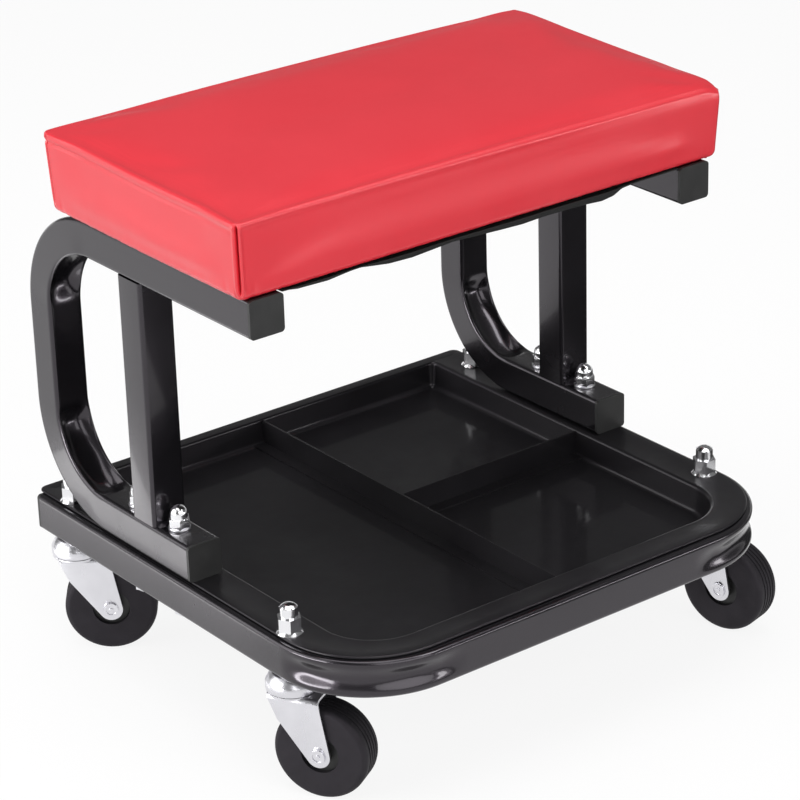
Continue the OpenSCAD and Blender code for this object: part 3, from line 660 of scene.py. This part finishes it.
# The cloth copy's grid and the height of its held foot in metres, and its settings
CLOTH_VOXEL, CLOTH_HELD, CLOTH_PRESSURE, CLOTH_QUALITY, CLOTH_FRAMES = 0.005, 0.007, 4, 6, 20
# Its moves are capped and shared out, away from the foot and from the corners
CLOTH_CAP, CLOTH_SHARE, HOLD_RANGE, LOOSE_RANGE = 4.0, 0.5, (4, 16), (6, 40)
SPREAD_NEAR, SPREAD_SOFTNESS = 12, 9.0


def cloth_moves(points, faces):
    """How a pressed cloth copy of the cover moves, as (rest places, moves) in mm."""
    mesh = bpy.data.meshes.new("cloth_copy")
    mesh.from_pydata([tuple(map(float, p)) for p in points * MM], [], faces)
    copy = bpy.data.objects.new("cloth_copy", mesh)
    scene = bpy.context.scene
    scene.collection.objects.link(copy)
    mesh.validate()
    remesh = copy.modifiers.new("remesh", "REMESH")
    remesh.mode, remesh.voxel_size = "VOXEL", CLOTH_VOXEL
    graph = bpy.context.evaluated_depsgraph_get()
    solid = bpy.data.meshes.new_from_object(copy.evaluated_get(graph))
    copy.modifiers.clear()
    copy.data = solid
    rest = np.array([v.co for v in solid.vertices], float)
    held = copy.vertex_groups.new(name="held")
    low = SEAT_LOW.z * MM
    for v in solid.vertices:
        held.add([v.index], 1.0 if v.co.z < low + CLOTH_HELD else 0.0, "REPLACE")
    cloth = copy.modifiers.new("cloth", "CLOTH")
    settings = cloth.settings
    settings.quality = CLOTH_QUALITY
    settings.use_pressure = True
    settings.uniform_pressure_force = CLOTH_PRESSURE
    settings.vertex_group_mass = "held"
    settings.effector_weights.gravity = 0
    cloth.collision_settings.use_collision = False
    cloth.point_cache.frame_start, cloth.point_cache.frame_end = 1, CLOTH_FRAMES
    for number in range(1, CLOTH_FRAMES + 1):
        scene.frame_set(number)
    graph = bpy.context.evaluated_depsgraph_get()
    pressed = bpy.data.meshes.new_from_object(copy.evaluated_get(graph))
    moved = np.array([v.co for v in pressed.vertices], float)
    scene.frame_set(1)
    bpy.data.objects.remove(copy)
    for left in (solid, pressed, mesh):
        bpy.data.meshes.remove(left)
    moves = (moved - rest) / MM
    size = np.linalg.norm(moves, axis=1)
    moves *= (CLOTH_CAP * np.tanh(size / CLOTH_CAP) / np.maximum(size, 1e-9))[:, None]
    return rest / MM, moves


def spread_moves(rest, moves, points):
    """The cloth copy's moves at other points, from its nearest points weighted by distance."""
    tree = KDTree(len(rest))
    for k, p in enumerate(rest):
        tree.insert(p, k)
    tree.balance()
    out = np.zeros_like(points)
    for k, p in enumerate(points):
        found = tree.find_n(p, SPREAD_NEAR)
        weights = np.array([1 / (d * d + SPREAD_SOFTNESS) for _, _, d in found])
        out[k] = (weights[:, None] * moves[[i for _, i, _ in found]]).sum(0) / weights.sum()
    return out


CREASE_PLACE, GROOVE_PLACE, SIDE_BLEND = -5.0, 7.0, 2.5
# Per side, rows of the place along it from -1 to 1, the ridge's height and width, the crease's depth and width,
# and the groove's depth and width
RIDGES = {
    "left": (
        (-1.0, 1.5, 2.1, 0.4, 1.8, 0.2, 3.5),
        (0.1, 1.4, 2.0, 0.9, 1.4, 0.15, 3.5),
        (1.0, 0.9, 1.5, 1.1, 1.2, 0.0, 3.5),
    ),
    "front": (
        (-1.0, 1.5, 1.9, 0.1, 2.8, 0.3, 3.5),
        (-0.5, 1.3, 2.1, 0.15, 2.8, 0.4, 3.8),
        (0.1, 0.6, 3.0, 0.2, 2.8, 0.45, 4.5),
        (0.5, -0.7, 5.0, 0.1, 2.8, 0.2, 5.0),
        (1.0, -1.6, 6.5, 0.0, 2.8, 0.0, 5.0),
    ),
    "right": ((-1.0, -1.0, 6.0, 0.0, 2.0, 0.0, 5.0), (1.0, 0.0, 3.0, 0.0, 2.0, 0.0, 5.0)),
    "back": ((-1.0, 0.8, 1.5, 0.4, 1.1, 0.0, 3.5), (1.0, 0.0, 3.0, 0.0, 2.0, 0.0, 5.0)),
}


def add_ridge(points, normals, ways):
    """A soft roll along the top edge with a crease below it and a shallow groove inside it.

    The four sides have their own, and blend round the corners."""
    x, y = (points[:, :2] - SEAT_CENTRE - SHIFT).T
    sides = {"left": (x, y, SEAT_HALF), "right": (-x, y, SEAT_HALF)}
    sides["front"], sides["back"] = (y, x, SEAT_HALF[::-1]), (-y, x, SEAT_HALF[::-1])
    amount, total = np.zeros(len(points)), np.zeros(len(points))
    for side, (out_way, along, half) in sides.items():
        weight = np.exp(-np.clip(out_way + half[0], 0, 60) / SIDE_BLEND) + 1e-9
        table = np.array(RIDGES[side])
        height, wide, crease, crease_wide, groove, groove_wide = (
            np.interp(along / half[1], table[:, 0], column) for column in table[:, 1:].T
        )
        line = height * bell(ways, wide) - crease * bell(ways - CREASE_PLACE, crease_wide)
        amount += weight * (line - groove * bell(ways - GROOVE_PLACE, groove_wide))
        total += weight
    lean = np.clip(ways / UPPER_R + math.pi / 4, 0, math.pi / 2)
    return points + (amount / total)[:, None] * np.column_stack([normals * np.cos(lean)[:, None], np.sin(lean)])


# Quarter of the outline, share of the corner's turn, slit width and lip share
PLEATS = ((3, 0.5, 0.62, 1.0), (0, 1.3, 0.62, 1.0), (1, -0.3, 0.62, 1.0), (2, 0.9, 1.1, 0.3))
PLEAT_DEPTH = 3.4
LIP_HEIGHT, LIP_PLACE, LIP_WIDTH = 0.95, 2.1, 1.15
# Heights above the foot where a pleat begins, and depths below the top where it ends
PLEAT_FOOT, PLEAT_TOP = (3, 9), (3.6, 0.6)


def add_pleats(points, columns, rows):
    """A narrow slit between two rolled lips up each corner, at a share of the corner's turn."""
    count = len(columns.anchors)
    skin = points[: rows * count].reshape(rows, count, 3)
    z = np.array([height for _, height, _ in cushion_rows()])[:, None]
    up = ease(z, *(SEAT_LOW.z + height for height in PLEAT_FOOT))
    up = up * (1 - ease(z, *(SEAT_EDGE_TOP - depth for depth in PLEAT_TOP)))
    base = columns.ring(0)
    run = np.cumsum(np.r_[0, np.linalg.norm(np.diff(base, axis=0), axis=1)])
    total = run[-1] + np.linalg.norm(base[0] - base[-1])
    for quarter, share, width, lip in PLEATS:
        start = np.flatnonzero(columns.corner == quarter)[0]
        along = (run - run[start] - share * CORNER_R * math.pi / 2 + total / 2) % total - total / 2
        slit = PLEAT_DEPTH * bell(along, width)
        lips = lip * LIP_HEIGHT * (bell(along - LIP_PLACE, LIP_WIDTH) + bell(along + LIP_PLACE, LIP_WIDTH))
        skin[..., :2] += (up * (lips - slit))[..., None] * columns.normals
    points[: rows * count] = skin.reshape(-1, 3)
    return points


PUCKER_DEPTH, PUCKER_RANGE = 0.3, (2, 16)


def add_puckers(points, normals):
    """Small uneven pulls where the cover turns under the board."""
    x, y, z = points.T
    low = 1 - ease(z, *(SEAT_LOW.z + height for height in PUCKER_RANGE))
    along = x * np.abs(normals[:, 1]) + y * np.abs(normals[:, 0])
    wave = np.sin(along * 0.43 + 0.7) * np.sin(along * 0.121 + 1.9) + 0.5 * np.sin(along * 0.83 + 2.3)
    out = points.copy()
    out[:, :2] += (-PUCKER_DEPTH * low * np.clip(wave, -0.2, 1.2))[:, None] * normals
    return out


def make_cushion():
    half = SEAT_HALF - SIDE_BOW
    columns = Columns(half)
    points, normals, ways, faces, rows = cushion_mesh(columns)
    points = crowned(points, half)
    away = half - np.abs(points[:, :2])
    loose = ease(np.maximum(away[:, 0], away[:, 1]), *LOOSE_RANGE)
    points[:, :2] += SEAT_CENTRE
    under = [tuple(range(len(columns.anchors) - 1, -1, -1))]
    rest, moves = cloth_moves(points, faces + under)
    spread = spread_moves(rest, moves, points)
    hold = ease(points[:, 2], *(SEAT_LOW.z + height for height in HOLD_RANGE)) * loose
    points = points + spread * hold[:, None] * CLOTH_SHARE
    points = add_ridge(points, normals, ways)
    points = add_pleats(points, columns, rows)
    points = add_puckers(points, normals)
    replaced = ("seat_cover", "seat_foam")
    piece = add_piece("seat_cushion_cover", points, faces, "red_vinyl", replaced, COVER_THICKNESS)


# Tubes with pressed bends

TUBE_HALF, TUBE_EDGE, TUBE_WALL = 12.7, 2.6, 1.5
SIDE_BEND_R, BASE_BEND_R = 76.2, 72.0
# How far a bend's inner wall is pushed in and its outer one drawn in, its sides swell and its ripples reach
BEND_IN, BEND_OUT, BEND_BULGE, BEND_RIPPLE = 5.0, 3.0, 0.5, 1.6
# Half widths of the two dents, and how much of the tube's edges they leave
DENT_HALF, DENT_POWER, DISH_HALF, EDGE_SHARE = TUBE_HALF - 1.4, 2.6, 9.5, 0.9
# Share of a bend in which its dents fade, the run in which they fade past it, and how deep they are where the
# base's front straight starts
DENT_FADE, DENT_RUN, FRONT_DENT = 0.2, 22.0, 0.85
ARC_SAMPLES, RUN_SAMPLES, STRAIGHT_STEP, CLOSEST = 44, 12, 40, 0.05


def tube_section():
    """Points (outward, sideways) round a square tube's section."""
    inner = TUBE_HALF - TUBE_EDGE
    corners = [((a * inner, h * inner), TUBE_EDGE) for a, h in ((1, 1), (-1, 1), (-1, -1), (1, -1))]
    return rounded_ring(corners, 0, 5, 20)


def pressed_section(section, amount, ripple):
    """The section of a bend: its inner wall pushed in, its outer wall drawn in, its sides swollen."""
    a, h = section.T.copy()
    across = np.clip(1 - np.abs(h / DENT_HALF) ** DENT_POWER, 0, 1)
    dish = np.clip(1 - (h / DISH_HALF) ** 2, 0, 1) ** 2
    edge = TUBE_HALF - TUBE_EDGE * EDGE_SHARE
    inner, outer = ease(-a, edge, TUBE_HALF), ease(a, edge, TUBE_HALF)
    out_a = a + amount * (BEND_IN + ripple) * across * inner
    out_a -= amount * (BEND_OUT + ripple / 2) * dish * outer
    out_h = h * (1 + amount * BEND_BULGE / TUBE_HALF * (0.5 - 0.5 * a / TUBE_HALF))
    return np.column_stack([out_a, out_h])


def line_samples(start, end, head=0.0, tail=0.0):
    """Samples of a straight, with the depth of the dents that run into it from the bends at its ends."""
    start, end = np.array(start, float), np.array(end, float)
    length = np.linalg.norm(end - start)
    near = np.linspace(0, DENT_RUN, RUN_SAMPLES) if head or tail else np.zeros(1)
    far = np.linspace(near[-1], length - near[-1], max(1, int(length / STRAIGHT_STEP)) + 1)
    for run in np.unique(np.concatenate([near, far, length - near])):
        share = head * (1 - ease(run, 0, DENT_RUN)) + tail * (1 - ease(length - run, 0, DENT_RUN))
        yield start + (end - start) * run / length, None, float(share), 0.0


def arc_samples(centre, radius, first, last, head=0.0, tail=0.0):
    """Samples of a bend between two angles in degrees, with the depth of its dent at its ends."""
    for k in range(ARC_SAMPLES + 1):
        t = k / ARC_SAMPLES
        a = math.radians(first + (last - first) * t)
        way = np.array([math.cos(a), math.sin(a)])
        rise, fall = head + (1 - head) * ease(t, 0, DENT_FADE), 1 - (1 - tail) * ease(t, 1 - DENT_FADE, 1)
        yield np.array(centre) + radius * way, way, float(rise * fall), t


def bend_path(parts):
    """The samples of all parts as (place, outward way, dent depth, share of the bend), with none doubled."""
    clean = []
    for sample in (sample for part in parts for sample in part):
        if not clean or np.linalg.norm(sample[0] - clean[-1][0]) > CLOSEST:
            clean.append(sample)
        elif sample[1] is not None and clean[-1][1] is None:
            clean[-1] = sample
    return clean


def make_tube(name, parts, place, replaced):
    """A square tube along a flat path; place(path point, sideways) gives the point in the part's frame."""
    section = tube_section()
    samples = bend_path(parts)
    rings = []
    for k, (spot, way, share, t) in enumerate(samples):
        before, after = samples[max(k - 1, 0)][0], samples[min(k + 1, len(samples) - 1)][0]
        along = (after - before) / np.linalg.norm(after - before)
        outward = way if way is not None else np.array([along[1], -along[0]])
        shape = pressed_section(section, share, BEND_RIPPLE * math.sin(3 * math.pi * t) * share)
        rings.append([place(spot + a * outward, h) for a, h in shape])
    points, faces = loft(rings)
    piece = add_piece(name, points, faces, "frame_paint", [replaced], TUBE_WALL)
    made = bmesh.new()
    made.from_mesh(piece.data)
    bmesh.ops.recalc_face_normals(made, faces=made.faces)
    made.to_mesh(piece.data)
    made.free()


def make_frames():
    for side in ("left", "right"):
        name = f"{side}_side_frame"
        low, high = (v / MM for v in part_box(name))
        x = (low.x + high.x) / 2
        radius = SIDE_BEND_R - TUBE_HALF
        back, top, bottom = high.y - TUBE_HALF, high.z - TUBE_HALF, low.z + TUBE_HALF
        nose = min(v.co.y for v in nodes[name].data.vertices if v.co.z / MM < low.z + 2 * TUBE_HALF) / MM
        bend_y = back - radius
        parts = (
            line_samples((nose, bottom), (bend_y, bottom)),
            arc_samples((bend_y, bottom + radius), radius, -90, 0),
            line_samples((back, bottom + radius), (back, top - radius)),
            arc_samples((bend_y, top - radius), radius, 0, 90),
            line_samples((bend_y, top), (low.y, top)),
        )
        make_tube(f"{side}_bent_rails", parts, lambda p, h, x=x: (x + h, p[0], p[1]), name)
    low, high = (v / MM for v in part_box("base_frame"))
    radius = BASE_BEND_R - TUBE_HALF
    x, front, z = high.x - TUBE_HALF, low.y + TUBE_HALF, (low.z + high.z) / 2
    parts = (
        line_samples((-x, high.y), (-x, front + radius)),
        arc_samples((-x + radius, front + radius), radius, 180, 270, tail=FRONT_DENT),
        line_samples((-x + radius, front), (x - radius, front), FRONT_DENT, FRONT_DENT),
        arc_samples((x - radius, front + radius), radius, 270, 360, head=FRONT_DENT),
        line_samples((x, front + radius), (x, high.y)),
    )
    make_tube("base_bent_tube", parts, lambda p, h: (p[0], p[1], z + h), "base_frame")


# Tray

TRAY_SHEET, HEM_WIDTH, HEM_R, HEM_LEAD = 1.0, 8.0, 1.0, 0.4
WELL_EDGE_R, WELL_FOOT_R, WELL_SLOPE = 2.6, 4.0, 1.2
RIM_FRONT_R, RIM_BACK_R, WELL_FRONT_R, WELL_BACK_R, SMALLEST_R = 64.0, 6.0, 38.0, 5.0, 0.4
WELL_LOW, WELL_HIGH = np.array([-156.0, -152.5]), np.array([156.0, 171.5])
# The rim sinks a little behind its hem, between two distances from the hem's end
RIM_SINK, SINK_FROM, SINK_TO = 0.2, 0.8, 0.6
SKIN_SHARE, FLOOR_LEAD = 0.98, 6


def tray_ring(low, high, front_r, back_r, z):
    """A ring with its own radius at the front corners and at the back ones."""
    corners = []
    for sx, sy, r in ((1, -1, front_r), (1, 1, back_r), (-1, 1, back_r), (-1, -1, front_r)):
        r = max(r, SMALLEST_R)
        corners.append(((high[0] - r if sx > 0 else low[0] + r, high[1] - r if sy > 0 else low[1] + r), r))
    ring = rounded_ring(corners, -90, 28, 40)
    return np.column_stack([ring, np.full(len(ring), z)])


def make_tray():
    """The rim with its folded hem, and the well pressed in it, as one bent sheet."""
    low, high = (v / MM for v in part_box("tool_tray"))
    top, floor = high.z, low.z + TRAY_SHEET
    rim_low, rim_high = np.array([low.x, low.y]), np.array([high.x, high.y])
    rings = []

    def rim(inset, z):
        rings.append(tray_ring(rim_low + inset, rim_high - inset, RIM_FRONT_R - inset, RIM_BACK_R - inset, z))

    def well(inset, z):
        front, back = WELL_FRONT_R - inset, WELL_BACK_R - inset
        rings.append(tray_ring(WELL_LOW + inset, WELL_HIGH - inset, front, back, z))

    rim(HEM_WIDTH, top - 2 * HEM_R)
    rim(HEM_R + HEM_LEAD, top - 2 * HEM_R)
    for k in range(9):
        a = math.radians(-90 + 180 * k / 8)
        rim(HEM_R * (1 - math.cos(a)), top - HEM_R + HEM_R * math.sin(a))
    rim(HEM_R + HEM_LEAD, top)
    rim(HEM_WIDTH - SINK_FROM, top)
    rim(HEM_WIDTH + SINK_TO, top - RIM_SINK - 0.05)
    well(-WELL_EDGE_R - SINK_TO, top - RIM_SINK)
    for k in range(9):
        a = math.radians(90 * k / 8)
        well(-WELL_EDGE_R * (1 - math.sin(a)), top - RIM_SINK - WELL_EDGE_R * (1 - math.cos(a)))
    for k in range(9):
        a = math.radians(90 * k / 8)
        well(WELL_SLOPE + WELL_FOOT_R * (1 - math.cos(a)), floor + WELL_FOOT_R * (1 - math.sin(a)))
    well(WELL_SLOPE + WELL_FOOT_R + FLOOR_LEAD, floor)
    points, faces = loft(rings, cap_end=True)
    # The wall is a trace thinner than the sheet, and so stays inside the solid's
    add_piece("pressed_tray", points, faces, "tray_paint", ["tool_tray"], TRAY_SHEET * SKIN_SHARE)


# Dust cover under the board

# Points across and along, closer together at the front
DUST_STEPS, DUST_ROW_POWER = (150, 64), 1.6
# How far the front edge hangs below the cushion, at places across it
DUST_HANG = (
    (-161, 0.4), (-148, 2.6), (-125, 3.4), (-110, 1.8), (-103, 0.8), (-94, 2.4), (-78, 4.9),
    (-60, 5.6), (-42, 4.4), (-28, 3.4), (-10, 4.4), (12, 5.6), (30, 6.3), (48, 5.6),
    (66, 5.9), (84, 6.4), (97, 7.4), (106, 6.2), (113, 2.6), (130, 1.2), (161, 0.4),
)
# The hang is fullest at a depth behind the edge, and fades away behind it
HANG_RISE, HANG_DEPTH, HANG_FADE = (-1.2, 3.2), 4.0, 14.0
DUST_SAG, DUST_WRINKLE, DUST_GAP = 3.0, 0.35, 0.35
DUST_THICKNESS, DUST_FRONT_IN, DUST_BACK_IN, SAG_SLACK = 0.6, 2.5, 6.5, 1.01


def make_dust_cover():
    """Thin fabric stapled under the board, loose between its staples along the front edge."""
    low, high = (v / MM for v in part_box("seat_dust_cover"))
    nx, ny = DUST_STEPS
    front, back = SEAT_LOW.y + DUST_FRONT_IN, SEAT_HIGH.y - DUST_BACK_IN
    half = (high.x - low.x) / 2
    places, hang = zip(*DUST_HANG)
    top = SEAT_LOW.z - DUST_GAP
    points = []
    for j in range(ny + 1):
        t = (j / ny) ** DUST_ROW_POWER
        depth = (back - front) * t
        y = front + depth
        near = bell(depth - HANG_DEPTH, HANG_FADE) if depth > HANG_DEPTH else ease(depth, *HANG_RISE)
        for i in range(nx + 1):
            x = -half + 2 * half * i / nx
            edge = float(np.interp(x, places, hang))
            middle = DUST_SAG * (1 - (x / half) ** 2) * math.sin(math.pi * t)
            wrinkle = DUST_WRINKLE * math.sin(x * 0.21 + y * 0.05) * math.sin(y * 0.16 + 1.3)
            points.append((x, y, top - edge * near - middle * (1 - near) - wrinkle * math.sin(math.pi * t)))
    faces = [
        (j * (nx + 1) + i, j * (nx + 1) + i + 1, (j + 1) * (nx + 1) + i + 1, (j + 1) * (nx + 1) + i)
        for j in range(ny)
        for i in range(nx)
    ]
    replaced = ("seat_dust_cover",)
    piece = add_piece("dust_cover_fabric", np.array(points), faces, "dust_fabric", replaced, DUST_THICKNESS, 0)


# Scene

bpy.context.scene.view_settings.view_transform = "Standard"
MATERIALS = make_materials()
add_camera()
add_world()
add_floor()
for card in CARDS:
    add_card(*card)
for lamp in LAMPS:
    add_lamp(*lamp)

NODE_BEVELS = {"zinc": 0.3 * MM, "chrome": 0.6 * MM}
for row in frame["record"]["subparts"]:
    node, node_slot = nodes[row["node"]], row["material_slot"]
    node.data.materials.clear()
    node.data.materials.append(MATERIALS[node_slot])
    finish_node(node, NODE_BEVELS.get(node_slot, 0.0))

make_cushion()
make_frames()
make_tray()
make_dust_cover()
